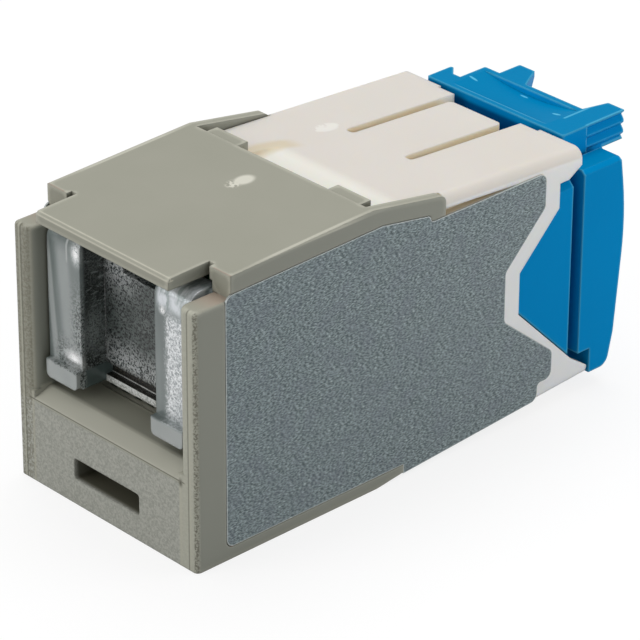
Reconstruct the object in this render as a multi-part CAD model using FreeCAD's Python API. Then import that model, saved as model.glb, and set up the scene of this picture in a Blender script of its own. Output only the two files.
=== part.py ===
import FreeCAD, Part
import math
import os

# Keystone-size modular jack with a sprung clear shutter, a rear sled for the
# terminals and a push-on wire cap. Millimetres, X across, Y front to back, Z up.
# The pieces are drawn from the middle of the front face's bottom edge. They are
# written with the origin under the middle of the whole jack.

Vector = FreeCAD.Vector

# --- Bezel and plug port -----------------------------------------------------
width = 14.5
pillar_width = 1.4
pillar_top = 15.4
pillar_inner_round = 0.6
pillar_outer_round = 0.3
pillar_top_round = 0.25
port_floor = 5.6
port_depth = 12.2
sill_drop = 0.4
sill_depth = 1.05
front_wall = 1.8
floor_lip = 3.2
base_thickness = 1.0

# --- Slot in the lower front face --------------------------------------------
slot_width = 5.3
slot_height = 1.3
slot_bottom = 1.55
slot_round = 0.2

# --- Hood over the port, its arms and tabs -----------------------------------
hood_gap = 0.6
hood_front_thickness = 0.65
hood_length = 12.5
hood_rise = 0.4
hood_edge_bevel = 0.15
hood_step_width = 2.0
hood_step_depth = 2.45
hood_relief_width = 0.4
hood_relief_depth = 0.35
hood_band_drop = 0.35
arm_thickness = 0.6
arm_length = 5.35
arm_slope = 9.8
arm_end_bottom = 14.9
arm_end_round = 0.45
tab_width = 2.5
tab_length = 0.95
tab_thickness = 0.5
tab_from_arm = 0.6
tab_sunk = 0.15
wall_foot = 15.0
base_taper_length = 2.0
base_taper_rise = 0.25

# --- Shutter -----------------------------------------------------------------
shutter_side_gap = 0.2
shutter_front = 1.0
shutter_depth = 2.4
shutter_panel = 0.7
shutter_bottom = 6.5
shutter_channel = 6.0
foot_proud = 0.4
foot_height = 1.1
foot_inset = 0.15
foot_bevel = 0.3
lip_height = 0.4
lip_proud = 0.1
lip_groove_height = 0.7
lip_groove_depth = 0.35
shutter_brow = 0.9
hinge_back = 2.85
hinge_fit = 0.05
trunnion_radius = 0.45
trunnion_length = 0.6
barrel_radius = 0.4

# --- Shutter spring ----------------------------------------------------------
spring_wire = 0.24
spring_radius = 0.75
spring_pitch = 0.5
spring_turns = 4.25
spring_leg = 1.1
spring_window = 3.0
spring_head_gap = 0.08

# --- Plug contacts and their cradle ------------------------------------------
contact_count = 8
contact_pitch = 1.02
contact_width = 0.36
contact_thickness = 0.3
contact_run_height = 2.4
contact_bend_front = 5.0
contact_bend_radius = 0.9
contact_rake = 25.0
contact_beam = 6.4
contact_slot_gap = 0.1
cradle_fit = 0.05
cradle_slot_front = 3.6

# --- Circuit board -----------------------------------------------------------
board_gap = 0.25
board_thickness = 1.0
board_bottom = 1.15
board_top = 14.6
board_side_gap = 0.3
pad_hole_gap = 0.05

# --- Rear sled ---------------------------------------------------------------
sled_taper = 3.5
sled_top_front = 16.2
sled_arm_gap = 0.1
sled_joint_gap = 0.08
sled_roof = 1.0
sled_wall = 0.7
sled_floor = 0.9
sled_bottom_front = 0.27
sled_bay_front = 21.6
sled_back = 28.5
sled_edge_round = 0.65
rib_groove_width = 0.6
rib_groove_end_round = 0.28
rib_groove_depth = 0.65
rib_groove_front_depth = 0.3
rib_groove_offset = 2.3
rib_groove_start = 19.8
middle_rib_short = 1.1
middle_rib_round = 0.3
rib_corner_width = 1.3
rib_corner_step = 0.22
roof_recess_back = 23.3
roof_recess_depth = 0.4
roof_recess_rise = 0.4
ramp_left = -3.4
ramp_back = 15.4
ramp_drop = 0.55
ramp_round = 0.5
window_front = 23.8
window_waist_low = 6.75
window_waist_high = 9.3
window_shoulder_y = 26.8
window_shoulder_low = 12.3
window_top = 13.8
window_back = 27.5
window_lip_rise = 0.6
window_round = 0.3
tail_y = 28.2
tail_z = 2.35
tail_tip_y = 29.55
tail_tip_z = 1.45

# --- Insulation-displacement terminals ---------------------------------------
terminal_columns = 4
terminal_pitch = 2.7
terminal_width = 1.5
terminal_thickness = 0.4
terminal_row_low = 4.6
terminal_row_high = 11.4
terminal_reach = 4.6
terminal_slit = 0.3
terminal_slit_depth = 3.2
terminal_tail = 0.5
terminal_fit = 0.05

# --- Foil shield -------------------------------------------------------------
foil_thickness = 0.1
foil_front = 2.1
foil_lower_edge = 0.75
foil_margin = 1.2
foil_round = 0.5
foil_recess_gap = 0.05
foil_top_rise = 0.25
foil_bend_lag = 0.7
foil_step_back = 1.1
foil_back_top = 14.9
foil_heel_step = 1.1
foil_heel_z = 1.85

# --- Wire cap ----------------------------------------------------------------
cap_side_gap = 0.1
cap_core_front = 22.2
cap_core_bottom = 2.5
cap_core_top = 13.2
cap_block_front = 28.7
cap_block_back = 32.2
cap_block_inset = 0.05
cap_block_top = 13.9
cap_block_bottom = 0.95
cap_tower = 1.6
cap_bridge_top = 3.2
cap_groove_width = 0.6
cap_groove_depth = 0.5
cap_room_half = 4.5
cap_pocket_gap = 0.15
cap_wire_slot = 1.0
cap_wire_slot_back = 26.6
cap_rack_pitch = 0.65
cap_rack_depth = 0.2
cap_rack_land = 0.15
cap_edge_bevel = 0.25
cap_cheek_inset = 0.3
cap_cheek_gap = 0.15
cap_cheek_top = 13.6
cap_cheek_bevel = 0.5
cap_notch_depth = 1.6
cap_notch_gap = 0.1
cap_heel_length = 1.1
cap_heel_rise = 2.0
cap_heel_set = 0.65
cap_heel_round = 0.7
cap_calf_round = 2.0
cap_belly_rise = 2.6
cap_belly_round = 20.0
cap_crown_set = 0.55
cap_crown_round = 0.15

# --- Strain-relief clip ------------------------------------------------------
clip_side_gap = 0.25
clip_front_gap = 0.15
clip_top = 15.4
clip_height = 3.0
clip_leg_height = 1.8
clip_depth = 3.3
clip_saddle_radius = 4.2
clip_bridge = 1.9
clip_tooth_count = 3
clip_tooth_depth = 0.25
clip_finger = 1.2
clip_finger_flare = 0.9
clip_finger_tip = 0.3
clip_finger_step = 1.65
clip_finger_inset = 1.15
clip_leg_width = 1.7
clip_hook_depth = 1.9
clip_hook_span = 1.35
clip_hook_root = 0.8
clip_hook_tip = 0.2
clip_dish_depth = 0.35
clip_dish_rim = 0.4
clip_corner_round = 0.1
clip_leg_taper = 0.43
clip_hook_width = 0.62
tooth_land = 0.05

# --- How far a cut runs on past the surface that it opens ---------------------
past = 1.0

# --- Values worked out from the ones above -----------------------------------
half_width = width / 2
port_half = half_width - pillar_width
hood_underside = pillar_top + hood_gap
hood_front_top = hood_underside + hood_front_thickness
hood_crease = hood_front_top + hood_rise
hinge_height = hood_underside - spring_head_gap - spring_radius - spring_wire / 2
tongue_half = half_width - hood_step_width
side_face = half_width - foil_thickness
arm_inner = half_width - arm_thickness
arm_end = hood_length + arm_length
shutter_half = port_half - shutter_side_gap
channel_half = shutter_channel / 2
cradle_top = port_floor - cradle_fit
board_front = port_depth + board_gap
board_back = board_front + board_thickness
sled_half = arm_inner - sled_arm_gap
bay_half = side_face - sled_wall
cap_core_half = bay_half - cap_side_gap
cap_block_side = half_width - cap_block_inset
cap_cheek_side = half_width - cap_cheek_inset
cap_groove_front = cap_block_front - cap_groove_width
tower_inner = cap_block_side - cap_tower
clip_half = tower_inner - clip_side_gap
clip_front = cap_block_front + clip_front_gap
clip_back = clip_front + clip_depth
clip_leg_back = clip_back + clip_finger_step
overall_length = clip_leg_back
taper = math.tan(math.radians(sled_taper))


def box(x0, x1, y0, y1, z0, z1):
    return Part.makeBox(x1 - x0, y1 - y0, z1 - z0, Vector(x0, y0, z0))


def outline(points):
    """Closed wire through (position, corner radius) pairs; a radius of 0 keeps the corner sharp."""
    stops = []
    count = len(points)
    for index in range(count):
        here, radius = points[index]
        if radius == 0:
            stops.append((here, here, here))
            continue
        back = (points[index - 1][0] - here).normalize()
        ahead = (points[(index + 1) % count][0] - here).normalize()
        half_angle = back.getAngle(ahead) / 2
        reach = radius / math.tan(half_angle)
        middle = (back + ahead).normalize()
        centre = here + middle * (radius / math.sin(half_angle))
        stops.append((here + back * reach, centre - middle * radius, here + ahead * reach))
    edges = []
    for index in range(count):
        start, middle, end = stops[index]
        following = stops[(index + 1) % count][0]
        if start.distanceToPoint(end) > 1e-6:
            edges.append(Part.Arc(start, middle, end).toShape())
        if end.distanceToPoint(following) > 1e-6:
            edges.append(Part.LineSegment(end, following).toShape())
    return Part.Wire(edges)


def corners(points, place):
    """Turn (a, b) or (a, b, radius) into positions with corner radii."""
    return [(place(p[0], p[1]), p[2] if len(p) > 2 else 0) for p in points]


def side_prism(points, x0, x1):
    """Prism of a side view outline, given as (y, z) or (y, z, radius), from x0 to x1."""
    wire = outline(corners(points, lambda y, z: Vector(x0, y, z)))
    return Part.Face(wire).extrude(Vector(x1 - x0, 0, 0))


def plan_prism(points, z0, z1):
    """Prism of a plan outline, given as (x, y) or (x, y, radius), from z0 to z1."""
    wire = outline(corners(points, lambda x, y: Vector(x, y, z0)))
    return Part.Face(wire).extrude(Vector(0, 0, z1 - z0))


def front_prism(points, y0, y1):
    """Prism of a front view outline, given as (x, z) or (x, z, radius), from y0 to y1."""
    wire = outline(corners(points, lambda x, z: Vector(x, y0, z)))
    return Part.Face(wire).extrude(Vector(0, y1 - y0, 0))


def cross_bar(radius, x0, x1, y, z):
    return Part.makeCylinder(radius, x1 - x0, Vector(x0, y, z), Vector(1, 0, 0))


def mirrored(shape):
    return shape.mirror(Vector(0, 0, 0), Vector(1, 0, 0))


def both_sides(shape):
    return shape.fuse(mirrored(shape))


def sled_top_at(y):
    return sled_top_front - (y - wall_foot) * taper


def sled_bottom_at(y):
    return sled_bottom_front + (y - wall_foot) * taper


def contact_places():
    middle = (contact_count - 1) / 2
    return [(index - middle) * contact_pitch for index in range(contact_count)]


def terminal_places():
    middle = (terminal_columns - 1) / 2
    columns = [(index - middle) * terminal_pitch for index in range(terminal_columns)]
    return [(x, z) for z in (terminal_row_low, terminal_row_high) for x in columns]


def foil_heel_y():
    return tail_y - foil_margin - foil_round - foil_heel_step


def foil_outline(grow):
    """Side view of the foil; grow widens its front and top edges for the recess it lies in."""
    top_front = hood_underside - hood_band_drop + grow
    top_bend = top_front + foil_top_rise
    bend_y = hood_length + foil_bend_lag
    step_y = arm_end - foil_step_back
    step_top = top_bend - (step_y - bend_y) * math.tan(math.radians(arm_slope))
    back_top = foil_back_top + grow
    shoulder_y = window_shoulder_y - foil_margin
    waist_y = window_front - foil_margin
    heel_y = foil_heel_y()
    tail = heel_y + foil_heel_step
    return [
        (foil_front - grow, foil_lower_edge - grow, foil_round),
        (wall_foot, foil_lower_edge - grow),
        (wall_foot, sled_bottom_at(wall_foot) - foil_thickness),
        (heel_y, sled_bottom_at(heel_y) - foil_thickness, foil_round),
        (heel_y, foil_heel_z, foil_round / 2),
        (tail, foil_heel_z, foil_round),
        (tail, tail_z + foil_margin, foil_round),
        (waist_y, window_waist_low, foil_round),
        (waist_y, window_waist_high + foil_round, foil_round),
        (shoulder_y, window_shoulder_low + foil_round, foil_round),
        (shoulder_y, back_top, foil_round),
        (step_y, back_top, foil_round / 2),
        (step_y, step_top, foil_round / 2),
        (bend_y, top_bend, foil_round),
        (foil_front - grow, top_front, foil_round),
    ]


# --- Grey housing: bezel, walls, hood and base in one moulding ---------------
def housing_side_outline():
    arm_fall = arm_length * math.tan(math.radians(arm_slope))
    return [
        (0, 0),
        (wall_foot - base_taper_length, 0),
        (wall_foot, base_taper_rise),
        (arm_end, arm_end_bottom),
        (arm_end, hood_crease - arm_fall, arm_end_round),
        (hood_length, hood_crease),
        (0, hood_front_top),
    ]


def port_plan():
    """Plan of the port, with the pillars' inner front corners rounded."""
    mouth = half_width - pillar_outer_round
    return [
        (-mouth, -past), (mouth, -past), (mouth, 0), (port_half, 0, pillar_inner_round),
        (port_half, port_depth + past), (-port_half, port_depth + past), (-port_half, 0, pillar_inner_round),
        (-mouth, 0),
    ]


def hood_tabs():
    outer = arm_inner - tab_from_arm
    top = hood_crease - tab_sunk
    tab = box(outer - tab_width, outer, hood_length - tab_length, hood_length + tab_length,
              top - tab_thickness, top)
    return both_sides(tab)


def round_pillar_tops(body):
    """Dome the pillars' tops in front of the hood's step."""
    rims = [edge for edge in body.Edges
            if abs(edge.BoundBox.ZMin - pillar_top) < 1e-4 and abs(edge.BoundBox.ZMax - pillar_top) < 1e-4
            and edge.BoundBox.YMax < hood_step_depth + 1e-4 and edge.BoundBox.YMin < hood_step_depth - 1e-4]
    return body.makeFillet(pillar_top_round, rims)


def make_housing():
    body = side_prism(housing_side_outline(), -half_width, half_width)
    plan = [
        (-half_width, 0, pillar_outer_round), (half_width, 0, pillar_outer_round),
        (half_width, arm_end), (-half_width, arm_end),
    ]
    body = body.common(plan_prism(plan, 0, hood_crease))

    # the port runs from the sill to the underside of the hood, and the step notches open beside the tongue
    body = body.cut(plan_prism(port_plan(), port_floor, pillar_top))
    body = body.cut(box(-port_half, port_half, -past, port_depth + past, pillar_top, hood_underside))
    notch = box(tongue_half, half_width + past, -past, hood_step_depth, pillar_top, hood_crease)
    relief = box(tongue_half, tongue_half + hood_relief_width, 0, hood_step_depth + hood_relief_depth,
                 pillar_top, hood_crease)
    body = round_pillar_tops(body.cut(both_sides(notch.fuse(relief))))
    sill = [(-past, port_floor - sill_drop * 2), (0, port_floor - sill_drop), (sill_depth, port_floor),
            (sill_depth, port_floor + past), (-past, port_floor + past)]
    body = body.cut(side_prism(sill, -port_half, port_half))

    # room for the contact cradle under the port floor, open upwards behind the lip
    cradle_room = box(-port_half, port_half, front_wall, arm_end, base_thickness, port_floor - base_thickness)
    body = body.cut(cradle_room)
    body = body.cut(box(-port_half, port_half, floor_lip, arm_end, base_thickness, hood_underside))

    # behind the port the walls thin to the arms, which take the sled between them
    body = body.cut(box(-arm_inner, arm_inner, port_depth, arm_end + past, base_thickness, hood_underside))
    body = body.cut(box(-arm_inner, arm_inner, hood_length, arm_end + past, base_thickness, hood_crease + past))
    body = body.fuse(hood_tabs())

    slot = [(-slot_width / 2, slot_bottom, slot_round), (slot_width / 2, slot_bottom, slot_round),
            (slot_width / 2, slot_bottom + slot_height, slot_round),
            (-slot_width / 2, slot_bottom + slot_height, slot_round)]
    body = body.cut(front_prism(slot, -past, front_wall + past))

    # shallow recesses for the foil, and blind bearings for the shutter's trunnions
    recess = side_prism(foil_outline(foil_recess_gap), side_face, half_width + past)
    body = body.cut(both_sides(recess))
    bearing_end = port_half + trunnion_length - shutter_side_gap + hinge_fit
    bearing = cross_bar(trunnion_radius + hinge_fit, port_half - past, bearing_end, hinge_back, hinge_height)
    body = body.cut(both_sides(bearing))

    bevel = [(-past, hood_front_top - hood_edge_bevel * 2), (0, hood_front_top - hood_edge_bevel),
             (hood_edge_bevel, hood_front_top), (hood_edge_bevel, hood_front_top + past),
             (-past, hood_front_top + past)]
    body = body.cut(side_prism(bevel, -tongue_half, tongue_half))
    return body.removeSplitter()


# --- Clear shutter, hung from trunnions under the hood -----------------------
def shutter_leg():
    back = shutter_front + shutter_depth
    top = hinge_height + trunnion_radius
    leg = [
        (shutter_front, shutter_bottom), (back, shutter_bottom),
        (back, top, shutter_panel), (shutter_front, top, shutter_brow),
    ]
    return side_prism(leg, channel_half, shutter_half)


def shutter_foot():
    front = shutter_front - foot_proud
    plate = [
        (channel_half, shutter_bottom, foot_bevel), (shutter_half - foot_inset, shutter_bottom, foot_bevel),
        (shutter_half - foot_inset, shutter_bottom + foot_height), (channel_half, shutter_bottom + foot_height),
    ]
    return front_prism(plate, front, shutter_front + foot_proud)


def make_shutter():
    back = shutter_front + shutter_depth
    face = back - shutter_panel
    lip_top = shutter_bottom + lip_height
    panel = box(-channel_half, channel_half, face, back, shutter_bottom, hinge_height)
    groove = box(-channel_half, channel_half, face, face + lip_groove_depth, lip_top, lip_top + lip_groove_height)
    lip = box(-channel_half, channel_half, face - lip_proud, back, shutter_bottom, lip_top)
    panel = panel.cut(groove).fuse(lip)
    side = shutter_leg().fuse(shutter_foot())
    pin_end = shutter_half + trunnion_length
    trunnion = cross_bar(trunnion_radius, channel_half, pin_end, hinge_back, hinge_height)
    side = side.fuse(trunnion)
    barrel = cross_bar(barrel_radius, -channel_half, channel_half, hinge_back, hinge_height)
    window_radius = math.hypot(spring_radius, spring_leg) + spring_wire
    window = cross_bar(window_radius, -spring_window / 2, spring_window / 2, hinge_back, hinge_height)
    shutter = both_sides(side).fuse(panel).cut(window).fuse(barrel)
    return shutter.removeSplitter()


def make_shutter_spring():
    """Coil round the shutter's barrel: one leg runs under the hood, the other down behind the barrel."""
    length = spring_pitch * spring_turns
    radius = spring_wire / 2
    start = Vector(spring_radius, 0, 0)
    end = Vector(0, spring_radius, length)
    helix = Part.makeHelix(spring_pitch, length, spring_radius)
    ring = Part.Wire(Part.makeCircle(radius, start, Vector(0, 1, 0)))
    coil = Part.Wire(helix.Edges).makePipeShell([ring], True, True)
    hood_leg = Part.makeCylinder(radius, spring_leg, start, Vector(0, -1, 0))
    panel_leg = Part.makeCylinder(radius, spring_leg, end, Vector(-1, 0, 0))
    spring = coil.fuse(hood_leg).fuse(panel_leg)
    spring.rotate(Vector(0, 0, 0), Vector(0, 1, 0), -90)
    spring.translate(Vector(length / 2, hinge_back, hinge_height))
    return spring


# --- Contact cradle: base and comb that guide the eight spring contacts ------
def contact_path(x):
    turn = math.radians(180 - contact_rake)
    start = Vector(x, board_back, contact_run_height)
    bend = Vector(x, contact_bend_front, contact_run_height)
    centre = bend + Vector(0, 0, contact_bend_radius)
    middle = centre + Vector(0, -math.sin(turn / 2), -math.cos(turn / 2)) * contact_bend_radius
    leave = centre + Vector(0, -math.sin(turn), -math.cos(turn)) * contact_bend_radius
    along = Vector(0, -math.cos(turn), math.sin(turn))
    tip = leave + along * contact_beam
    edges = [
        Part.LineSegment(start, bend).toShape(),
        Part.Arc(bend, middle, leave).toShape(),
        Part.LineSegment(leave, tip).toShape(),
    ]
    return Part.Wire(edges)


def make_contact(x):
    half_x = contact_width / 2
    half_z = contact_thickness / 2
    z = contact_run_height
    section = Part.makePolygon([
        Vector(x - half_x, board_back, z - half_z), Vector(x + half_x, board_back, z - half_z),
        Vector(x + half_x, board_back, z + half_z), Vector(x - half_x, board_back, z + half_z),
        Vector(x - half_x, board_back, z - half_z),
    ])
    return contact_path(x).makePipeShell([section], True, False)


def make_cradle():
    half = port_half - cradle_fit
    cradle = side_prism([
        (front_wall + cradle_fit, base_thickness + cradle_fit),
        (port_depth, base_thickness + cradle_fit),
        (port_depth, cradle_top),
        (floor_lip + cradle_fit, cradle_top),
        (floor_lip + cradle_fit, port_floor - base_thickness - cradle_fit),
        (front_wall + cradle_fit, port_floor - base_thickness - cradle_fit),
    ], -half, half)
    floor = contact_run_height - contact_thickness / 2 - contact_slot_gap
    slot_half = contact_width / 2 + contact_slot_gap
    for x in contact_places():
        cradle = cradle.cut(box(x - slot_half, x + slot_half, cradle_slot_front, port_depth + past,
                                floor, port_floor + past))
    return cradle


# --- Circuit board between the cradle and the sled ---------------------------
def make_board():
    half = arm_inner - board_side_gap
    board = box(-half, half, board_front, board_back, board_bottom, board_top)
    half_x = contact_width / 2 + pad_hole_gap
    half_z = contact_thickness / 2 + pad_hole_gap
    for x in contact_places():
        board = board.cut(box(x - half_x, x + half_x, board_front - past, board_back + past,
                              contact_run_height - half_z, contact_run_height + half_z))
    half_tail = terminal_tail / 2 + pad_hole_gap
    half_sheet = terminal_thickness / 2 + pad_hole_gap
    for x, z in terminal_places():
        board = board.cut(box(x - half_tail, x + half_tail, board_front - past, board_back + past,
                              z - half_sheet, z + half_sheet))
    return board


# --- Forked terminals that stand out of the sled into the wire cap ------------
def make_terminal(x, z):
    tip = sled_bay_front + terminal_reach
    half = terminal_width / 2
    tail = terminal_tail / 2
    slit = terminal_slit / 2
    root = board_back + board_gap
    return plan_prism([
        (x - tail, board_front), (x + tail, board_front), (x + tail, root), (x + half, root + half),
        (x + half, tip - half), (x + slit * 2, tip), (x + slit, tip - slit),
        (x + slit, tip - terminal_slit_depth), (x - slit, tip - terminal_slit_depth),
        (x - slit, tip - slit), (x - slit * 2, tip), (x - half, tip - half),
        (x - half, root + half), (x - tail, root),
    ], z - terminal_thickness / 2, z + terminal_thickness / 2)


# --- White rear sled ---------------------------------------------------------
def window_outline():
    """Side opening behind the wall, which shows the cap's cheek."""
    far = cap_block_back + past
    return [
        (far, window_top + window_lip_rise), (sled_back, window_top + window_lip_rise, window_round),
        (window_back, window_top, window_round),
        (window_shoulder_y, window_top), (window_shoulder_y, window_shoulder_low),
        (window_front, window_waist_high), (window_front, window_waist_low),
        (tail_y, tail_z, window_round), (tail_tip_y, tail_tip_z, window_round / 2),
        (tail_tip_y - window_round / 2, sled_bottom_at(tail_tip_y)),
        (far, sled_bottom_at(tail_tip_y)),
    ]


def on_roof_edge(edge):
    """True for an edge that runs from front to back along the sled's sloping roof."""
    middle = edge.CenterOfMass
    runs_back = edge.BoundBox.XLength < 1e-4 and edge.BoundBox.YLength > 1e-4
    return runs_back and abs(middle.z - sled_top_at(middle.y)) < 1e-4


def sled_blank():
    """The sled's outline at its full width, with its roof edges rounded."""
    joint_foot = wall_foot + sled_joint_gap
    joint_top = arm_end + sled_joint_gap
    blank = side_prism([
        (joint_foot, sled_bottom_at(joint_foot)), (tail_tip_y, sled_bottom_at(tail_tip_y)),
        (tail_tip_y, cap_core_bottom), (sled_back, cap_core_bottom),
        (sled_back, sled_top_at(sled_back)), (joint_top, sled_top_at(joint_top)),
        (joint_top, arm_end_bottom),
    ], -side_face, side_face)
    return blank.makeFillet(sled_edge_round, [edge for edge in blank.Edges if on_roof_edge(edge)])


def sled_shell():
    """The full-width blank with a slit under its roof edge, over the foil, that closes towards the back."""
    slit = side_prism([
        (arm_end, foil_back_top), (roof_recess_back, foil_back_top),
        (arm_end, foil_back_top + roof_recess_rise),
    ], side_face - roof_recess_depth, half_width)
    return sled_blank().cut(both_sides(slit))


def rib_groove():
    inner = rib_groove_offset - rib_groove_width / 2
    outer = rib_groove_offset + rib_groove_width / 2
    end = sled_back + past
    strip = plan_prism([
        (inner, rib_groove_start, rib_groove_end_round), (outer, rib_groove_start, rib_groove_end_round),
        (outer, end), (inner, end),
    ], sled_top_at(end) - rib_groove_depth, sled_top_front)
    floor = side_prism([
        (rib_groove_start, sled_top_at(rib_groove_start) - rib_groove_front_depth),
        (end, sled_top_at(end) - rib_groove_depth), (end, sled_top_front), (rib_groove_start, sled_top_front),
    ], inner, outer)
    return strip.common(floor)


def middle_rib_gap():
    """The gap behind the shorter middle rib, whose rear corners are rounded."""
    half = rib_groove_offset - rib_groove_width / 2
    end = sled_back - middle_rib_short
    low = sled_top_at(sled_back) - sled_roof - past
    gap = box(-half, half, end - middle_rib_round, sled_back + past, low, sled_top_front)
    rib = plan_prism([
        (-half, end - 2 * middle_rib_round), (half, end - 2 * middle_rib_round),
        (half, end, middle_rib_round), (-half, end, middle_rib_round),
    ], low, sled_top_front)
    return gap.cut(rib)


def front_ramp():
    """The step down to the hood's rear edge, with a cove along its left side."""
    floor = sled_top_at(hood_length) - ramp_drop
    wire = outline(corners([
        (ramp_left, sled_top_front + past), (ramp_left, floor, ramp_round),
        (sled_half + past, floor), (sled_half + past, sled_top_front + past),
    ], lambda x, z: Vector(x, hood_length, z)))
    climb = Vector(0, ramp_back - hood_length, sled_top_at(ramp_back) - floor)
    return Part.Face(wire).extrude(climb)


def make_sled():
    shell = sled_shell()
    neck_bottom = base_thickness + sled_joint_gap
    neck_back = arm_end + sled_joint_gap
    neck = side_prism([
        (board_back + terminal_fit, neck_bottom), (neck_back, neck_bottom),
        (neck_back, sled_top_at(neck_back)), (hood_length + sled_joint_gap, sled_top_at(hood_length)),
        (hood_length + sled_joint_gap, board_top + terminal_fit),
        (board_back + terminal_fit, board_top + terminal_fit),
    ], -sled_half, sled_half)
    roof_low = sled_top_at(sled_bay_front) - sled_roof
    bay = side_prism([
        (sled_bay_front, sled_bottom_at(sled_bay_front) + sled_floor),
        (cap_block_back, sled_bottom_at(cap_block_back) + sled_floor),
        (cap_block_back, sled_top_at(cap_block_back) - sled_roof),
        (sled_bay_front, roof_low),
    ], -bay_half, bay_half)
    sled = shell.fuse(neck).cut(bay)
    window = side_prism(window_outline(), bay_half - past, half_width + past)
    sled = sled.cut(both_sides(window))

    # the floor between the two tails stops short of the cap's block
    sled = sled.cut(box(-bay_half, bay_half, sled_back, cap_block_back, 0, pillar_top))

    # two grooves with round ends run out over the top, and the rib between them is shorter
    sled = sled.cut(both_sides(rib_groove())).cut(middle_rib_gap())
    groove_outer = rib_groove_offset + rib_groove_width / 2
    corner = box(groove_outer - rib_groove_width, groove_outer + rib_corner_width, sled_back - rib_corner_step,
                 sled_back + past, sled_top_at(sled_back) - sled_roof - past, sled_top_front)
    sled = sled.cut(both_sides(corner))

    sled = sled.cut(front_ramp())

    half_x = terminal_width / 2 + terminal_fit
    half_z = terminal_thickness / 2 + terminal_fit
    for x, z in terminal_places():
        slot = box(x - half_x, x + half_x, board_back - past, sled_bay_front + past, z - half_z, z + half_z)
        sled = sled.cut(slot)
    return sled.removeSplitter()


# --- Foil shield: two sides joined by a web under the sled -------------------
def make_foil():
    side = side_prism(foil_outline(0), side_face, half_width)
    front = wall_foot + sled_joint_gap
    back = foil_heel_y() - foil_round
    web = side_prism([
        (front, sled_bottom_at(front) - foil_thickness), (back, sled_bottom_at(back) - foil_thickness),
        (back, sled_bottom_at(back)), (front, sled_bottom_at(front)),
    ], -side_face, side_face)
    return both_sides(side).fuse(web).removeSplitter()


# --- Blue wire cap -----------------------------------------------------------
def cap_block():
    """Two towers on a bridge, with a bowed back and bevelled tops."""
    middle = (cap_block_top + cap_block_bottom) / 2
    side = [
        (cap_block_front, cap_block_bottom),
        (cap_block_back - cap_heel_length, cap_block_bottom, cap_heel_round),
        (cap_block_back - cap_heel_set, cap_block_bottom + cap_heel_rise, cap_calf_round),
        (cap_block_back, middle + cap_belly_rise, cap_belly_round),
        (cap_block_back - cap_crown_set, cap_block_top, cap_crown_round), (cap_block_front, cap_block_top),
    ]
    block = side_prism(side, -cap_block_side, cap_block_side)
    bevel_edge = cap_block_top - cap_edge_bevel
    section = [
        (-cap_block_side, 0), (cap_block_side, 0), (cap_block_side, bevel_edge),
        (cap_block_side - cap_edge_bevel, cap_block_top), (-cap_block_side + cap_edge_bevel, cap_block_top),
        (-cap_block_side, bevel_edge),
    ]
    block = block.common(front_prism(section, cap_block_front, cap_block_back))
    channel = box(-tower_inner, tower_inner, cap_block_front - past, cap_block_back + past, cap_bridge_top,
                  cap_block_top + past)
    block = block.cut(channel)
    tail_notch = box(cap_block_side - cap_notch_depth, cap_block_side + past, cap_block_front - past,
                     tail_tip_y + cap_notch_gap, 0, tail_z + cap_cheek_gap)
    block = block.cut(both_sides(tail_notch))
    steps = int((cap_block_top - cap_bridge_top) / cap_rack_pitch / 2)
    for step in range(steps):
        top = cap_block_top - (step + 1) * cap_rack_pitch
        low = top - cap_rack_pitch + cap_rack_land
        notch = front_prism([
            (tower_inner - past, top), (tower_inner, top), (tower_inner + cap_rack_depth, top),
            (tower_inner, low), (tower_inner - past, low),
        ], clip_back - clip_finger_step, cap_block_back + past)
        block = block.cut(both_sides(notch))
    return block


def cap_cheek():
    """Boss that fills the sled's window from inside and slides out backwards."""
    shoulder = window_shoulder_y + cap_cheek_gap
    front = window_front + cap_cheek_gap
    low = tail_z + tail_y + cap_cheek_gap - cap_groove_front
    cheek = side_prism([
        (shoulder, cap_cheek_top), (shoulder, window_shoulder_low), (front, window_waist_high),
        (front, window_waist_low), (cap_groove_front, low), (cap_groove_front, cap_cheek_top),
    ], cap_core_half - cap_groove_depth, cap_cheek_side)
    edge = cap_cheek_side - cap_cheek_bevel
    bevel_low = cap_cheek_top - cap_cheek_bevel
    bevel = front_prism([
        (cap_cheek_side, bevel_low), (cap_cheek_side + past, bevel_low),
        (cap_cheek_side + past, cap_cheek_top + past), (edge, cap_cheek_top + past), (edge, cap_cheek_top),
    ], window_front, cap_block_front)
    return cheek.cut(bevel)


def make_cap():
    core = box(-cap_core_half, cap_core_half, cap_core_front, cap_block_front, cap_core_bottom, cap_core_top)
    groove = box(cap_core_half - cap_groove_depth, cap_core_half + past, cap_groove_front, cap_block_front,
                 cap_bridge_top, cap_core_top + past)
    core = core.cut(both_sides(groove)).fuse(both_sides(cap_cheek()))
    cap = core.fuse(cap_block())

    # the cable room between the towers reaches into the core
    cap = cap.cut(box(-cap_room_half, cap_room_half, cap_wire_slot_back, cap_block_front + past,
                      cap_bridge_top, cap_core_top + past))

    # a pocket for each terminal, and a slot for its conductor out to the nearer face
    half_x = terminal_width / 2 + cap_pocket_gap
    half_z = terminal_thickness / 2 + cap_pocket_gap
    tip = sled_bay_front + terminal_reach
    slot_front = tip - terminal_slit_depth
    for x, z in terminal_places():
        pocket_back = tip + cap_pocket_gap
        cap = cap.cut(box(x - half_x, x + half_x, cap_core_front - past, pocket_back, z - half_z, z + half_z))
        low, high = (cap_core_bottom - past, z) if z == terminal_row_low else (z, cap_core_top + past)
        cap = cap.cut(box(x - cap_wire_slot / 2, x + cap_wire_slot / 2, slot_front, slot_front + cap_wire_slot,
                          low, high))
    return cap.removeSplitter()


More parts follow.
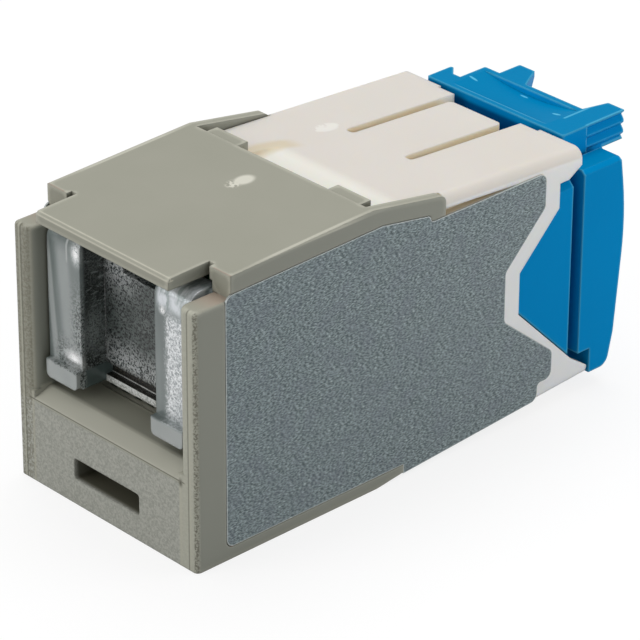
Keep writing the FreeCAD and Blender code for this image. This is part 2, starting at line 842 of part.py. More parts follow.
# --- Blue strain-relief clip on top of the cap -------------------------------
def clip_plan():
    bar_left = clip_hook_span - clip_half
    finger_left = bar_left + clip_finger_inset
    finger_right = finger_left + clip_finger
    hook = clip_front + clip_hook_depth
    leg_inner = clip_half - clip_leg_width
    small = clip_corner_round
    return [
        (-clip_half, clip_front, small), (clip_half, clip_front, small), (clip_half, clip_leg_back, small),
        (leg_inner + clip_leg_taper, clip_leg_back, small), (leg_inner, clip_back),
        (finger_right + clip_finger_flare, clip_back), (finger_right, clip_leg_back, small),
        (finger_left, clip_leg_back, small), (finger_left, clip_back),
        (bar_left, clip_back, small), (bar_left, hook - clip_hook_width),
        (clip_hook_root - clip_half, hook - clip_hook_width), (clip_hook_tip - clip_half, hook, small),
        (-clip_half, hook, small),
    ]


def make_clip():
    bottom = clip_top - clip_height
    clip = plan_prism(clip_plan(), bottom, clip_top)

    # under the bar: a saddle for the cable, and nothing below the fingers and the legs' overhang
    saddle_axis = clip_top - clip_bridge - clip_saddle_radius
    saddle = Part.makeCylinder(clip_saddle_radius, overall_length, Vector(0, 0, saddle_axis), Vector(0, 1, 0))
    clip = clip.cut(saddle)
    low = clip_top - clip_leg_height
    clip = clip.cut(box(-clip_half, clip_half, clip_back, clip_leg_back, bottom, low))

    # the finger thins towards its tip
    wedge = side_prism([
        (clip_back, low), (clip_leg_back, low), (clip_leg_back, clip_top - clip_finger_tip),
    ], -clip_half, clip_half - clip_leg_width)
    clip = clip.cut(wedge)

    # teeth in rows along both flanks, which suit the racks in the towers
    for row in range(clip_tooth_count):
        tip = clip_top - tooth_land - row * cap_rack_pitch
        next_tip = tip + tooth_land - cap_rack_pitch
        gullet = front_prism([
            (clip_half + past, tip), (clip_half, tip), (clip_half - clip_tooth_depth, tip - clip_tooth_depth),
            (clip_half, next_tip), (clip_half + past, next_tip),
        ], clip_front + clip_hook_depth, clip_leg_back + past)
        clip = clip.cut(both_sides(gullet))

    # shallow dish in the top of the bar, inside a rim at its front and back
    dish_half = clip_half - clip_leg_width
    dish_radius = (dish_half ** 2 + clip_dish_depth ** 2) / (2 * clip_dish_depth)
    dish = Part.makeCylinder(dish_radius, clip_depth - 2 * clip_dish_rim,
                             Vector(0, clip_front + clip_dish_rim, clip_top - clip_dish_depth + dish_radius),
                             Vector(0, 1, 0))
    return clip.cut(dish)


def save(name, shape):
    placed = shape.copy()
    placed.translate(Vector(0, -overall_length / 2, 0))
    placed.exportStep("parts/" + name + ".step")


os.makedirs("parts", exist_ok=True)
save("jack_housing", make_housing())
save("shutter", make_shutter())
save("shutter_spring", make_shutter_spring())
save("contact_cradle", make_cradle())
for number, place in enumerate(contact_places(), 1):
    save("plug_contact_%d" % number, make_contact(place))
save("circuit_board", make_board())
for number, (across, height) in enumerate(terminal_places(), 1):
    save("terminal_%d" % number, make_terminal(across, height))
save("rear_sled", make_sled())
save("foil_shield", make_foil())
save("wire_cap", make_cap())
save("strain_relief_clip", make_clip())
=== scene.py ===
import math

import bpy
from mathutils import Matrix, Vector


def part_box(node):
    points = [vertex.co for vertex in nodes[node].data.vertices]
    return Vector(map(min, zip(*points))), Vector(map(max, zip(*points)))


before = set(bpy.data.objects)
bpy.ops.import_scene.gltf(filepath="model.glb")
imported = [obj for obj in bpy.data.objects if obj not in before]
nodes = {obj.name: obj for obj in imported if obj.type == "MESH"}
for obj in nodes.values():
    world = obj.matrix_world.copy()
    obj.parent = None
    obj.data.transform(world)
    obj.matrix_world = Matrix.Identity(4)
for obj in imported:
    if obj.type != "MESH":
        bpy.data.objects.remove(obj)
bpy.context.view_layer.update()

# --- Studio -----------------------------------------------------------------------
# A small moulded jack stands on a plain pale table under three soft lamps. The view
# is from the front right and above, through a long lens.
view_azimuth = math.radians(46.721)
view_elevation = math.radians(28.274)
view_roll = math.radians(0.2993)
view_distance = 0.21257
view_centre = Vector((0.0040014, -0.0051444, 0.0095677))
focal_length = 223.737
sensor_width = 36
nearest_seen = 0.01
lamp_distance = 0.4
room_light = 0.40
bounce_shade, seen_shade = 0.44, 0.22
table_glow = 0.81
table_size = 4.0
white = (1, 1, 1, 1)

outward = Vector((math.sin(view_azimuth) * math.cos(view_elevation),
                  -math.cos(view_azimuth) * math.cos(view_elevation),
                  math.sin(view_elevation)))
lens = bpy.data.cameras.new("view")
lens.sensor_width = sensor_width
lens.lens = focal_length
lens.clip_start = nearest_seen
lens.dof.use_dof = False
camera = bpy.data.objects.new("view", lens)
camera.matrix_world = (Matrix.Translation(view_centre + outward * view_distance)
                       @ outward.to_track_quat("Z", "Y").to_matrix().to_4x4()
                       @ Matrix.Rotation(view_roll, 4, "Z"))
bpy.context.collection.objects.link(camera)
bpy.context.scene.camera = camera
bpy.context.scene.view_settings.view_transform = "Standard"


def softbox(name, direction, share, size, distance=lamp_distance):
    """Square lamp that lights a surface facing it to the given share of the colour it is painted."""
    lamp = bpy.data.lights.new(name, "AREA")
    lamp.size = size
    lamp.energy = share * (math.pi * distance) ** 2
    holder = bpy.data.objects.new(name, lamp)
    way = Vector(direction).normalized()
    holder.location = view_centre + way * distance
    holder.rotation_euler = way.to_track_quat("Z", "Y").to_euler()
    bpy.context.collection.objects.link(holder)


softbox("overhead_lamp", (-0.25, 0.2, 1.0), 0.5, 0.30)
softbox("front_lamp", (-0.45, -1.0, 0.45), 0.27, 0.22)
softbox("side_lamp", (1.0, 0.9, 0.3), 0.24, 0.05, 0.08)


def put(tree, kind, links=None, **settings):
    """Add a shader node; links go from sockets, or plain values, to the node's inputs."""
    node = tree.nodes.new(kind)
    for name, value in settings.items():
        setattr(node, name, value)
    for key, value in (links or {}).items():
        if isinstance(value, bpy.types.NodeSocket):
            tree.links.new(value, node.inputs[key])
        else:
            node.inputs[key].default_value = value
    return node


def bare_material(name):
    material = bpy.data.materials.new(name)
    material.use_nodes = True
    material.node_tree.nodes.clear()
    return material, material.node_tree


def seen_by(tree, *kinds):
    """1 for rays of any of these kinds, 0 for the rays that only carry light."""
    rays = put(tree, "ShaderNodeLightPath").outputs
    seen = rays[kinds[0]]
    for kind in kinds[1:]:
        seen = put(tree, "ShaderNodeMath", {0: seen, 1: rays[kind]}, operation="MAXIMUM").outputs[0]
    return seen


world = bpy.data.worlds.new("studio_air")
world.use_nodes = True
world.node_tree.nodes.clear()
tree = world.node_tree
seen = seen_by(tree, "Is Camera Ray", "Is Transmission Ray")
strength = put(tree, "ShaderNodeMapRange", {"Value": seen, "To Min": room_light, "To Max": 1.0})
air = put(tree, "ShaderNodeBackground", {"Color": white, "Strength": strength.outputs[0]})
put(tree, "ShaderNodeOutputWorld", {"Surface": air.outputs[0]})
bpy.context.scene.world = world

table_material, tree = bare_material("pale_table")
seen = seen_by(tree, "Is Camera Ray", "Is Glossy Ray", "Is Transmission Ray")
paint = put(tree, "ShaderNodeMapRange", {"Value": seen, "To Min": bounce_shade, "To Max": seen_shade})
matt = put(tree, "ShaderNodeBsdfDiffuse", {"Color": paint.outputs[0]})
glow = put(tree, "ShaderNodeEmission", {"Color": white, "Strength": table_glow})
dark = put(tree, "ShaderNodeEmission", {"Strength": 0.0})
lit = put(tree, "ShaderNodeMixShader", {0: seen, 1: dark.outputs[0], 2: glow.outputs[0]})
lit_paint = put(tree, "ShaderNodeAddShader", {0: matt.outputs[0], 1: lit.outputs[0]})
put(tree, "ShaderNodeOutputMaterial", {"Surface": lit_paint.outputs[0]})
bpy.ops.mesh.primitive_plane_add(size=table_size, location=(0, 0, 0))
table = bpy.context.object
table.name = "table"
table.data.materials.append(table_material)

# --- Grey housing -----------------------------------------------------------------
# One moulding in warm grey plastic carries the bezel, the port, the hood, the side
# walls and the base: spark-eroded on the bezel, and smooth on the hood, which keeps
# the scar of its gate. The contact cradle under the port is of the same plastic.
mm = 0.001
front_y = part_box("jack_housing")[0][1]
hood_top = 17.05 * mm
hood_bevel_foot = 16.5 * mm
pillar_inside = 5.9 * mm
sill_foot = 5.0 * mm


def position(tree):
    return put(tree, "ShaderNodeTexCoord").outputs["Object"]


def split(tree, where):
    return put(tree, "ShaderNodeSeparateXYZ", {"Vector": where}).outputs


def noise(tree, where, scale, detail=2.0, roughness=0.5, stretch=None):
    if stretch:
        where = put(tree, "ShaderNodeMapping", {"Vector": where, "Scale": stretch}).outputs[0]
    return put(tree, "ShaderNodeTexNoise", {"Vector": where, "Scale": scale, "Detail": detail,
                                            "Roughness": roughness}).outputs["Fac"]


def band(tree, value, low, high, to_low=0.0, to_high=1.0):
    """Smooth step of a value from low to high."""
    return put(tree, "ShaderNodeMapRange", {"Value": value, "From Min": low, "From Max": high,
                                            "To Min": to_low, "To Max": to_high},
               interpolation_type="SMOOTHSTEP").outputs[0]


def beyond(tree, value, limit, soft, amount=1.0):
    """Rises from 0 to amount where value passes limit, over soft on each side of it."""
    return band(tree, value, limit - soft, limit + soft, 0.0, amount)


def within(tree, value, limit, soft, amount=1.0):
    """Falls from amount to 0 where value passes limit, over soft on each side of it."""
    return band(tree, value, limit - soft, limit + soft, amount, 0.0)


def sums(tree, operation, a, b, third=None):
    inputs = {0: a, 1: b}
    if third is not None:
        inputs[2] = third
    return put(tree, "ShaderNodeMath", inputs, operation=operation).outputs[0]


def both(tree, *masks):
    """Product of several masks."""
    product = masks[0]
    for mask in masks[1:]:
        product = sums(tree, "MULTIPLY", product, mask)
    return product


def either(tree, *masks):
    """Greatest of several masks."""
    greatest = masks[0]
    for mask in masks[1:]:
        greatest = sums(tree, "MAXIMUM", greatest, mask)
    return greatest


def line(tree, value, middle, half):
    """1 on a thin line where value is at middle, fading out at half its width."""
    off = sums(tree, "ABSOLUTE", sums(tree, "SUBTRACT", value, middle), 0.0)
    return band(tree, off, half * 0.3, half, 1.0, 0.0)


def near(tree, where, centre, reach):
    """1 at centre, falling to 0 at the ellipsoid whose half sizes are reach."""
    moved = put(tree, "ShaderNodeVectorMath", {0: where, 1: centre}, operation="SUBTRACT").outputs[0]
    scaled = put(tree, "ShaderNodeVectorMath", {0: moved, 1: reach}, operation="DIVIDE").outputs[0]
    length = put(tree, "ShaderNodeVectorMath", {0: scaled}, operation="LENGTH").outputs[1]
    return band(tree, length, 0.0, 1.0, 1.0, 0.0)


def blend(tree, share, a, b):
    mix = put(tree, "ShaderNodeMix", data_type="RGBA")
    for key, value in ((0, share), (6, a), (7, b)):
        if isinstance(value, bpy.types.NodeSocket):
            tree.links.new(value, mix.inputs[key])
        else:
            mix.inputs[key].default_value = value
    return mix.outputs[2]


def rgb(red, green, blue):
    """Screen colour from 0 to 255 as the linear colour that a shader takes."""
    def channel(value):
        value /= 255
        return value / 12.92 if value <= 0.04045 else ((value + 0.055) / 1.055) ** 2.4
    return (channel(red), channel(green), channel(blue), 1.0)


def facing(tree):
    """The surface's outward direction, as its three parts."""
    return split(tree, put(tree, "ShaderNodeNewGeometry").outputs["Normal"])


def crest(tree, reach):
    """1 along outer edges, within reach of which another face lies behind the surface."""
    depth = put(tree, "ShaderNodeAmbientOcclusion", {"Distance": reach}, samples=8, inside=True)
    return band(tree, depth.outputs["AO"], 0.55, 0.9, 1.0, 0.0)


def openness(tree, reach):
    """1 on open faces, less in grooves and corners whose walls lie within reach."""
    return put(tree, "ShaderNodeAmbientOcclusion", {"Distance": reach}, samples=8).outputs["AO"]


def rounded(tree, radius, height, strength, distance):
    """Normal with softened edges and a bump from height."""
    edge = put(tree, "ShaderNodeBevel", {"Radius": radius}, samples=6)
    return put(tree, "ShaderNodeBump", {"Height": height, "Strength": strength, "Distance": distance,
                                        "Normal": edge.outputs[0]}).outputs[0]


def surface(tree, sockets):
    """Close a material with one shader that has these sockets."""
    shader = put(tree, "ShaderNodeBsdfPrincipled", sockets)
    put(tree, "ShaderNodeOutputMaterial", {"Surface": shader.outputs[0]})


def dress(node_name, material):
    node = nodes[node_name]
    node.data.materials.clear()
    node.data.materials.append(material)


grey_plastic, tree = bare_material("grey_plastic")
where = position(tree)
across, along, up = split(tree, where)
side = sums(tree, "ABSOLUTE", across, 0.0)
sideways = sums(tree, "ABSOLUTE", facing(tree)[0], 0.0)
front = within(tree, along, front_y + 0.2 * mm, 0.1 * mm)
pillar = both(tree, front, beyond(tree, side, pillar_inside, 0.1 * mm))
bezel = both(tree, front, within(tree, up, sill_foot, 0.1 * mm))
right = beyond(tree, across, 0.0, 0.1 * mm)
speck = noise(tree, where, 7600.0, 3.0, 0.65)
fine = band(tree, speck, 0.35, 0.65)
drift = noise(tree, where, 260.0)
colour = blend(tree, drift, rgb(158, 158, 143), rgb(166, 165, 151))
# faces turned sideways are painted darker, as shade on the housing's sides
colour = blend(tree, band(tree, sideways, 0.6, 0.95), colour, rgb(149, 151, 140))

# pale edges are painted highlights, brightest on the hood's side rims, and dark hollows are painted shade
edge_highlight = both(tree, crest(tree, 0.4 * mm), band(tree, sideways, 0.8, 0.95, 0.6, 0.25))
colour = blend(tree, edge_highlight, colour, rgb(206, 205, 189))
hood_rim_highlight = both(tree, either(tree, beyond(tree, side, 7.0 * mm, 0.05 * mm), band(tree, sideways, 0.6, 0.9)),
                beyond(tree, up, hood_top - 0.25 * mm, 0.04 * mm),
                beyond(tree, along, front_y + 2.0 * mm, 0.2 * mm),
                band(tree, along, front_y + 10.0 * mm, front_y + 12.5 * mm, 1.0, 0.2))
colour = blend(tree, hood_rim_highlight, colour, rgb(198, 197, 182))
hollow_shade = band(tree, openness(tree, 1.8 * mm), 0.15, 0.6, 0.6, 0.0)
colour = blend(tree, hollow_shade, colour, rgb(84, 81, 66))

# the bezel and the pillars are spark-eroded, the right pillar least
colour = blend(tree, bezel, colour, blend(tree, fine, rgb(187, 188, 178), rgb(160, 161, 151)))
colour = blend(tree, both(tree, pillar, right), colour, rgb(190, 190, 175))
pitted = both(tree, pillar, fine, band(tree, across, -0.1 * mm, 0.1 * mm, 0.9, 0.15))
colour = blend(tree, pitted, colour, rgb(134, 132, 116))
# the slot's inside is painted dark as shade
slot_shade = both(tree, within(tree, side, 2.675 * mm, 0.075 * mm),
            beyond(tree, along, front_y + 0.25 * mm, 0.15 * mm),
            beyond(tree, up, 1.53 * mm, 0.03 * mm), within(tree, up, 2.95 * mm, 0.05 * mm))
colour = blend(tree, both(tree, slot_shade, 0.85), colour, rgb(72, 70, 54))

# the sill between the pillars is painted lighter, as light that falls on it
sill = both(tree, beyond(tree, up, sill_foot + 0.1 * mm, 0.1 * mm), within(tree, up, 5.8 * mm, 0.1 * mm),
            within(tree, along, front_y + 1.25 * mm, 0.15 * mm), within(tree, side, 5.85 * mm, 0.05 * mm))
colour = blend(tree, sill, colour, rgb(203, 202, 187))

# the mould left witness lines down the pillars and along the bezel's top, a rough
# outer corner, and a nick where they meet
# pale lines beside a witness line and along the pillars' inner rounded edge are painted highlights
ridge_highlights = either(tree, line(tree, side, 6.76 * mm, 0.09 * mm), line(tree, side, 5.97 * mm, 0.14 * mm))
colour = blend(tree, both(tree, pillar, ridge_highlights, 0.7), colour, rgb(192, 191, 174))
seam = both(tree, pillar, line(tree, side, 6.62 * mm, 0.07 * mm), 0.6)
corner = both(tree, front, line(tree, side, 7.14 * mm, 0.17 * mm), band(tree, speck, 0.42, 0.58, 0.1, 1.0),
              0.75)
parting = both(tree, line(tree, up, 5.13 * mm, 0.06 * mm), front, within(tree, side, 6.3 * mm, 0.1 * mm), 0.8)
nick = near(tree, where, (6.0 * mm, front_y, 5.05 * mm), (0.25 * mm, 0.2 * mm, 0.4 * mm))
colour = blend(tree, either(tree, seam, corner, nick, parting), colour, rgb(96, 94, 80))

# a bevel runs along the hood's front edge, with a pale line painted on each side of it as a highlight
bevel_back_highlight = both(tree, line(tree, along, front_y + 0.17 * mm, 0.06 * mm),
                  beyond(tree, up, hood_bevel_foot + 0.025 * mm, 0.025 * mm))
bevel_highlights = both(tree, either(tree, line(tree, up, hood_bevel_foot, 0.06 * mm), bevel_back_highlight),
                   within(tree, along, front_y + 0.35 * mm, 0.05 * mm))
colour = blend(tree, bevel_highlights, colour, rgb(204, 202, 186))
# the pillars' tops are painted warm towards the back, as bounced light
pillar_top_bounce = both(tree, band(tree, facing(tree)[2], 0.8, 0.95), beyond(tree, side, pillar_inside, 0.1 * mm),
                  beyond(tree, along, front_y + 1.15 * mm, 0.85 * mm, 0.8),
                  within(tree, along, front_y + 2.55 * mm, 0.05 * mm))
colour = blend(tree, pillar_top_bounce, colour, rgb(170, 152, 137))

# the gate was cut off cleanly at the back of its scar and torn at the front
scar_height = 16.86 * mm
scar_cut = near(tree, where, (-0.14 * mm, front_y + 10.1 * mm, scar_height), (0.8 * mm, 1.1 * mm, 0.6 * mm))
scar_torn = both(tree, near(tree, where, (-0.2 * mm, front_y + 9.5 * mm, scar_height),
                            (0.7 * mm, 1.0 * mm, 0.6 * mm)),
                 band(tree, noise(tree, where, 5200.0, 2.0, 0.6), 0.42, 0.56))
colour = blend(tree, band(tree, either(tree, scar_cut, scar_torn), 0.12, 0.6), colour, rgb(222, 220, 206))

relief = both(tree, speck, band(tree, bezel, 0.0, 1.0, 0.12, 1.0))
surface(tree, {"Base Color": colour, "Roughness": 0.52, "Specular IOR Level": 0.4,
               "Normal": rounded(tree, 0.18 * mm, relief, 0.5, 0.06 * mm)})
dress("jack_housing", grey_plastic)
dress("contact_cradle", grey_plastic)

# --- Clear shutter ----------------------------------------------------------------
# A clear polycarbonate moulding swings on two trunnions under the hood. Its legs are
# polished, and the grained panel between them scatters the light.
panel_face = front_y + 2.7 * mm
panel_half = 2.93 * mm
groove_top = 7.7 * mm
lip_top = 6.95 * mm
foot_top = 7.5 * mm

clear_plastic, tree = bare_material("clear_plastic")
where = position(tree)
across, along, up = split(tree, where)
side = sums(tree, "ABSOLUTE", across, 0.0)
grit = noise(tree, where, 9400.0, 2.0, 0.6)
cloud = noise(tree, where, 420.0, 2.0)

# the panel's grain is painted brightest in its upper left corner and just above the groove, as light falling
# there
frost_light = either(tree, near(tree, where, (-2.2 * mm, panel_face, 14.5 * mm), (3.4 * mm, 4.0 * mm, 3.4 * mm)),
               band(tree, up, 7.6 * mm, 10.0 * mm, 0.65, 0.0))
frost_light = sums(tree, "ADD", frost_light, sums(tree, "MULTIPLY_ADD", cloud, 0.6, -0.3))
grain_dark = blend(tree, frost_light, rgb(12, 18, 17), rgb(62, 72, 72))
grain_pale = blend(tree, frost_light, rgb(104, 113, 110), rgb(252, 255, 255))
panel_tone = blend(tree, band(tree, grit, 0.36, 0.66), grain_dark, grain_pale)
groove = both(tree, beyond(tree, up, lip_top - 0.2 * mm, 0.05 * mm), within(tree, up, groove_top, 0.3 * mm))
# the groove is painted dark as shade
groove_shade = blend(tree, band(tree, grit, 0.5, 0.75), rgb(20, 19, 14), rgb(112, 106, 92))
panel_tone = blend(tree, groove, panel_tone, groove_shade)
lip = within(tree, up, lip_top, 0.05 * mm)
lip_front = both(tree, lip, band(tree, facing(tree)[2], 0.4, 0.7, 1.0, 0.0))
lip_tone = blend(tree, band(tree, grit, 0.4, 0.6), rgb(176, 180, 174), rgb(252, 253, 250))
# the lip's top face is painted dark as shade, and its front is frosted
panel_tone = blend(tree, lip, panel_tone, rgb(36, 35, 28))
panel_tone = blend(tree, lip_front, panel_tone, lip_tone)

# the left leg is glassy, with leaning streaks painted as highlights and rough patches at its foot and inner
# edge
leg_tone = blend(tree, noise(tree, where, 800.0, 2.0, 0.5, (1.0, 1.0, 0.22)), rgb(104, 120, 118),
                 rgb(196, 206, 204))
left = within(tree, across, 0.0, 0.1 * mm)
leaning = sums(tree, "MULTIPLY_ADD", up, -0.09, side)
long_streak = both(tree, line(tree, leaning, 4.4 * mm, 0.34 * mm),
                   band(tree, up, 13.5 * mm, 15.0 * mm, 0.9, 0.1))
wide_streak = both(tree, line(tree, leaning, 3.15 * mm, 0.75 * mm),
                   band(tree, up, 14.0 * mm, 15.0 * mm, 0.5, 0.0))
short_streak = both(tree, line(tree, side, 4.05 * mm, 0.11 * mm), beyond(tree, up, 13.7 * mm, 0.3 * mm))
streak_highlights = both(tree, left, either(tree, long_streak, wide_streak, short_streak))
leg_tone = blend(tree, streak_highlights, leg_tone, rgb(240, 246, 245))
rough_edge = both(tree, band(tree, side, 4.2 * mm, 3.1 * mm), band(tree, up, 13.5 * mm, 10.5 * mm))
rough_foot = both(tree, band(tree, side, 5.6 * mm, 4.4 * mm), band(tree, up, 9.8 * mm, 8.0 * mm))
rough_tone = blend(tree, band(tree, grit, 0.42, 0.60), rgb(216, 223, 221), rgb(62, 73, 71))
leg_tone = blend(tree, both(tree, left, either(tree, rough_edge, rough_foot), 0.85), leg_tone, rough_tone)

# the right leg has a rippled crown painted bright as a highlight, and a frosted strip with a frayed edge
crown_highlight = both(tree, beyond(tree, across, 3.2 * mm, 0.2 * mm), beyond(tree, up, 14.0 * mm, 0.4 * mm))
crown_ripple = band(tree, noise(tree, where, 1500.0, 3.0, 0.6, (1.6, 0.5, 0.8)), 0.36, 0.6, 0.1, 0.9)
leg_tone = blend(tree, both(tree, crown_highlight, crown_ripple), leg_tone, rgb(238, 242, 247))
frayed = sums(tree, "MULTIPLY_ADD", grit, 0.7 * mm, across)
strip = both(tree, beyond(tree, frayed, 4.2 * mm, 0.2 * mm), within(tree, up, 13.8 * mm, 0.4 * mm),
             beyond(tree, up, 7.6 * mm, 0.2 * mm))
strip_tone = blend(tree, band(tree, grit, 0.35, 0.65), rgb(162, 168, 170), rgb(238, 241, 242))
leg_tone = blend(tree, strip, leg_tone, strip_tone)

# glints and feet
glint_places = ((-3.3 * mm, 14.5 * mm), (-3.6 * mm, 8.1 * mm), (3.6 * mm, 13.9 * mm))
glint_sizes = ((0.6 * mm, 1.1 * mm), (1.2 * mm, 0.8 * mm), (0.4 * mm, 0.4 * mm))
glint = either(tree, *(near(tree, where, (x, front_y + 1.0 * mm, z), (wide, 0.8 * mm, high))
                       for (x, z), (wide, high) in zip(glint_places, glint_sizes)))
leg_tone = blend(tree, both(tree, glint, band(tree, grit, 0.3, 0.5)), leg_tone, rgb(255, 255, 255))
foot = both(tree, within(tree, up, foot_top, 0.1 * mm), within(tree, along, front_y + 0.85 * mm, 0.05 * mm))
leg_tone = blend(tree, foot, leg_tone, blend(tree, cloud, rgb(190, 200, 197), rgb(244, 248, 246)))

# the legs' inner walls are painted dark as shade, with rippled and gritty light painted on them
inner_wall = both(tree, line(tree, side, 3.0 * mm, 0.12 * mm),
                  beyond(tree, along, front_y + 1.25 * mm, 0.15 * mm))
wall_grit = both(tree, band(tree, grit, 0.45, 0.7), band(tree, up, 7.6 * mm, 12.5 * mm, 0.8, 0.35))
ripple = band(tree, noise(tree, where, 2600.0, 3.0, 0.65, (1.0, 0.6, 1.8)), 0.53, 0.66, 0.0, 0.6)
swirl_middle = (-3.0 * mm, front_y + 1.9 * mm, 9.8 * mm)
swirl = both(tree, near(tree, where, swirl_middle, (1.0 * mm, 1.2 * mm, 2.4 * mm)),
             band(tree, grit, 0.35, 0.6, 0.25, 1.0))
wall_tone = blend(tree, either(tree, wall_grit, ripple, swirl), rgb(20, 27, 23), rgb(178, 187, 184))
wall_tone = blend(tree, within(tree, up, foot_top + 0.1 * mm, 0.1 * mm), wall_tone, rgb(104, 120, 118))

panel = within(tree, side, panel_half, 0.03 * mm)
colour = blend(tree, panel, leg_tone, panel_tone)
colour = blend(tree, inner_wall, colour, wall_tone)
clear = sums(tree, "MULTIPLY_ADD", either(tree, panel, strip, crown_highlight), -0.4, 0.45)
mirror = either(tree, both(tree, strip, 0.6), both(tree, glint, 0.7), both(tree, crown_highlight, 0.35),
                both(tree, panel, band(tree, grit, 0.5, 0.7, 0.0, 0.5)))
relief = both(tree, grit, either(tree, panel, strip, 0.12))
surface(tree, {"Base Color": colour, "Roughness": 0.18, "IOR": 1.56, "Transmission Weight": clear,
               "Metallic": mirror, "Normal": rounded(tree, 0.15 * mm, relief, 0.8, 0.07 * mm)})
dress("shutter", clear_plastic)

# --- Shutter spring ---------------------------------------------------------------
# A torsion spring sits round the shutter's barrel and swings the shutter shut.
# It is wound from drawn steel wire.
spring_steel, tree = bare_material("spring_steel")
tone = blend(tree, noise(tree, position(tree), 3000.0), rgb(150, 152, 155), rgb(198, 200, 202))
surface(tree, {"Base Color": tone, "Metallic": 1.0, "Roughness": 0.28})
dress("shutter_spring", spring_steel)

# --- Plug contacts ----------------------------------------------------------------
# Eight spring contacts lie in the cradle's comb and press on the plug's blades.
# They are bent from phosphor bronze strip and plated with gold.
gold_plate, tree = bare_material("gold_plate")
tone = blend(tree, noise(tree, position(tree), 1800.0), rgb(214, 170, 84), rgb(240, 205, 124))
surface(tree, {"Base Color": tone, "Metallic": 1.0, "Roughness": 0.24})
for name in nodes:
    if name.startswith("plug_contact"):
        dress(name, gold_plate)

# --- Circuit board ----------------------------------------------------------------
# The board joins the contacts to the terminals, which are soldered into it. It is
# glass-fibre laminate under green solder mask.
solder_mask, tree = bare_material("solder_mask")
weave = noise(tree, position(tree), 4000.0, 1.0, 0.5, (1.0, 1.0, 0.2))
tone = blend(tree, weave, rgb(22, 92, 54), rgb(34, 116, 66))
surface(tree, {"Base Color": tone, "Roughness": 0.3})
dress("circuit_board", solder_mask)

# --- Forked terminals -------------------------------------------------------------
# Eight terminals are stamped from tinned bronze. Their forks cut through the
# insulation of the conductors when the cap is pushed on.
tin_plate, tree = bare_material("tin_plate")
tone = blend(tree, noise(tree, position(tree), 1500.0), rgb(186, 188, 186), rgb(218, 219, 216))
surface(tree, {"Base Color": tone, "Metallic": 1.0, "Roughness": 0.33})
for name in nodes:
    if name.startswith("terminal"):
        dress(name, tin_plate)

# --- White rear sled --------------------------------------------------------------
# The sled is moulded in warm white plastic and clips in between the housing's arms.
# It is faintly translucent, and its hollows are painted creamy as warm shade.
step_left = -3.4 * mm
step_back = front_y + 15.3 * mm
cove_start = front_y + 13.9 * mm
cove_sweep = -95.0

white_plastic, tree = bare_material("white_plastic")
where = position(tree)
across, along, up = split(tree, where)
drift = noise(tree, where, 180.0)
colour = blend(tree, drift, rgb(229, 222, 213), rgb(233, 228, 221))
# faces that stand upright are painted whiter, as light on the sled's sides
colour = blend(tree, band(tree, facing(tree)[2], 0.03, 0.30), rgb(255, 255, 252), colour)
# hollows are painted creamy as warm shade
hollow_shade = band(tree, openness(tree, 1.2 * mm), 0.35, 0.8, 0.7, 0.0)
colour = blend(tree, hollow_shade, colour, rgb(214, 196, 158))

# the step down to the hood is painted paler, as light on it, and its left wall sweeps back in a cove painted
# creamy as shade
roof = beyond(tree, up, 14.75 * mm, 0.25 * mm)
step = both(tree, roof, within(tree, along, step_back, 0.5 * mm),
            beyond(tree, across, step_left + 0.15 * mm, 0.15 * mm))
colour = blend(tree, both(tree, step, 0.8), colour, rgb(252, 250, 240))
behind = sums(tree, "SUBTRACT", along, cove_start)
sweep = sums(tree, "MULTIPLY_ADD", both(tree, behind, behind), cove_sweep, across)
cove_shade = both(tree, roof, line(tree, sweep, step_left - 0.1 * mm, 0.85 * mm),
            within(tree, along, step_back + 1.0 * mm, 0.5 * mm))
colour = blend(tree, both(tree, cove_shade, 0.7), colour, rgb(222, 206, 172))
scar_middle = (-3.46 * mm, front_y + 19.2 * mm, 16.2 * mm)
scar = both(tree, near(tree, where, scar_middle, (0.8 * mm, 1.4 * mm, 1.2 * mm)),
            band(tree, noise(tree, where, 2600.0, 2.0), 0.35, 0.5, 0.4, 1.0))
colour = blend(tree, band(tree, scar, 0.15, 0.45), colour, rgb(244, 241, 234))
relief = noise(tree, where, 3800.0, 2.0)
surface(tree, {"Base Color": colour, "Roughness": 0.45, "Subsurface Weight": 0.35,
               "Subsurface Scale": 1.0 * mm, "Subsurface Radius": (1.0, 0.75, 0.45),
               "Normal": rounded(tree, 0.18 * mm, relief, 0.15, 0.04 * mm)})
dress("rear_sled", white_plastic)

# --- Foil shield ------------------------------------------------------------------
# Aluminised film is stuck over the sides and folded under the sled. Its grained face
# breaks the light into short bright and dark flecks that lean forward.
grain_lean = math.radians(12.0)

foil, tree = bare_material("foil")
where = position(tree)
leaning = put(tree, "ShaderNodeMapping", {"Vector": where, "Rotation": (-grain_lean, 0.0, 0.0),
                                          "Scale": (1.0, 0.38, 1.0)}).outputs[0]
fleck = noise(tree, leaning, 13500.0, 2.0, 0.5)
cloud = noise(tree, where, 700.0, 3.0, 0.6)
colour = blend(tree, band(tree, fleck, 0.30, 0.70), rgb(68, 81, 84), rgb(142, 156, 158))
colour = blend(tree, band(tree, fleck, 0.66, 0.74, 0.0, 0.7), colour, rgb(192, 203, 203))
colour = blend(tree, both(tree, band(tree, cloud, 0.4, 0.7), 0.3), colour, rgb(104, 110, 122))
# the foil's edges are painted pale as highlights
colour = blend(tree, both(tree, crest(tree, 0.095 * mm), 0.8), colour, rgb(214, 220, 218))
surface(tree, {"Base Color": colour, "Metallic": 0.45, "Roughness": 0.42,
               "Normal": rounded(tree, 0.05 * mm, fleck, 0.4, 0.05 * mm)})
dress("foil_shield", foil)

# --- Blue wire cap and strain-relief clip -----------------------------------------
# Both are moulded in satin blue plastic. The cap presses the conductors onto the
# terminals, and the clip snaps down between its towers onto the cable.
clip_front, clip_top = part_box("strain_relief_clip")[0][1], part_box("strain_relief_clip")[1][2]
rib_places = ((3.0 * mm, 13.84 * mm), (-3.4 * mm, 13.7 * mm), (-0.2 * mm, 14.55 * mm))

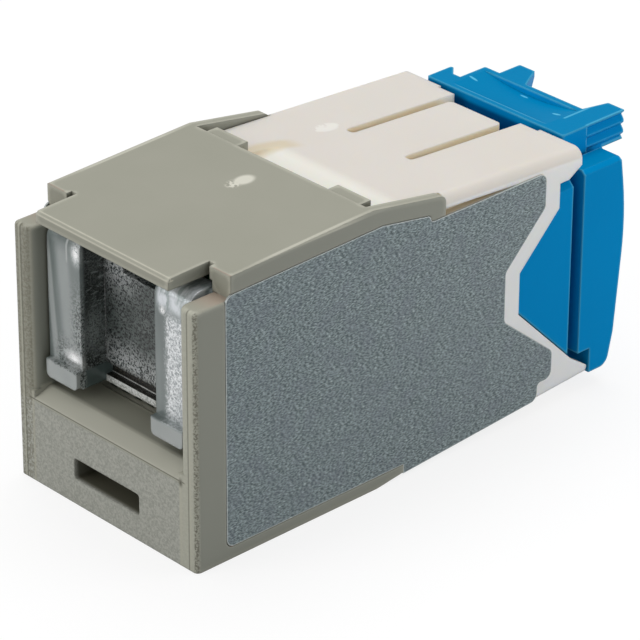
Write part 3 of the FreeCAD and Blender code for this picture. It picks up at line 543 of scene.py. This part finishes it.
blue_plastic, tree = bare_material("blue_plastic")
where = position(tree)
across, along, up = split(tree, where)
sideways, rearward, upright = facing(tree)
drift = noise(tree, where, 220.0)
colour = blend(tree, drift, rgb(0, 141, 208), rgb(0, 147, 214))
# faces turned up are painted darker as shade
colour = blend(tree, band(tree, upright, 0.6, 0.95), colour, rgb(0, 135, 190))

# the bar's front face is painted darker to the right as shade, and the wall of the dish behind it is painted
# light
forward = band(tree, rearward, -0.5, -0.9, 0.0, 1.0)
bar_face_shade = both(tree, forward, band(tree, up, clip_top - 0.3 * mm, clip_top - 0.6 * mm),
                line(tree, along, clip_front, 0.4 * mm), band(tree, across, 2.0 * mm, 4.6 * mm, 0.9, 0.0))
colour = blend(tree, bar_face_shade, colour, rgb(0, 84, 142))
dish_wall_light = both(tree, forward, beyond(tree, along, clip_front + 0.5 * mm, 0.1 * mm),
                 beyond(tree, up, clip_top - 0.55 * mm, 0.05 * mm))
colour = blend(tree, dish_wall_light, colour, rgb(0, 160, 222))
# hollows are painted darker as shade
hollow_shade = band(tree, openness(tree, 1.2 * mm), 0.2, 0.6, 0.5, 0.0)
colour = blend(tree, hollow_shade, colour, rgb(0, 96, 158))

# edges, three small ribs and a step on the clip's top catch the light
ribs = either(tree, *(near(tree, where, (x, y, clip_top), (0.6 * mm, 0.16 * mm, 1.4 * mm))
                      for x, y in rib_places))
step = both(tree, line(tree, across, 3.8 * mm, 0.11 * mm), beyond(tree, along, 13.6 * mm, 0.1 * mm, 0.7),
            band(tree, upright, 0.8, 0.9), beyond(tree, up, clip_top - 0.3 * mm, 0.1 * mm))
lustre = either(tree, both(tree, crest(tree, 0.18 * mm), 0.65), band(tree, ribs, 0.3, 0.6), step)
colour = blend(tree, lustre, colour, rgb(96, 196, 232))
relief = noise(tree, where, 4200.0, 2.0)
surface(tree, {"Base Color": colour, "Roughness": 0.34, "Specular IOR Level": 0.03,
               "Specular Tint": (0.05, 0.5, 0.9, 1.0),
               "Normal": rounded(tree, 0.16 * mm, relief, 0.12, 0.04 * mm)})
dress("wire_cap", blue_plastic)
dress("strain_relief_clip", blue_plastic)
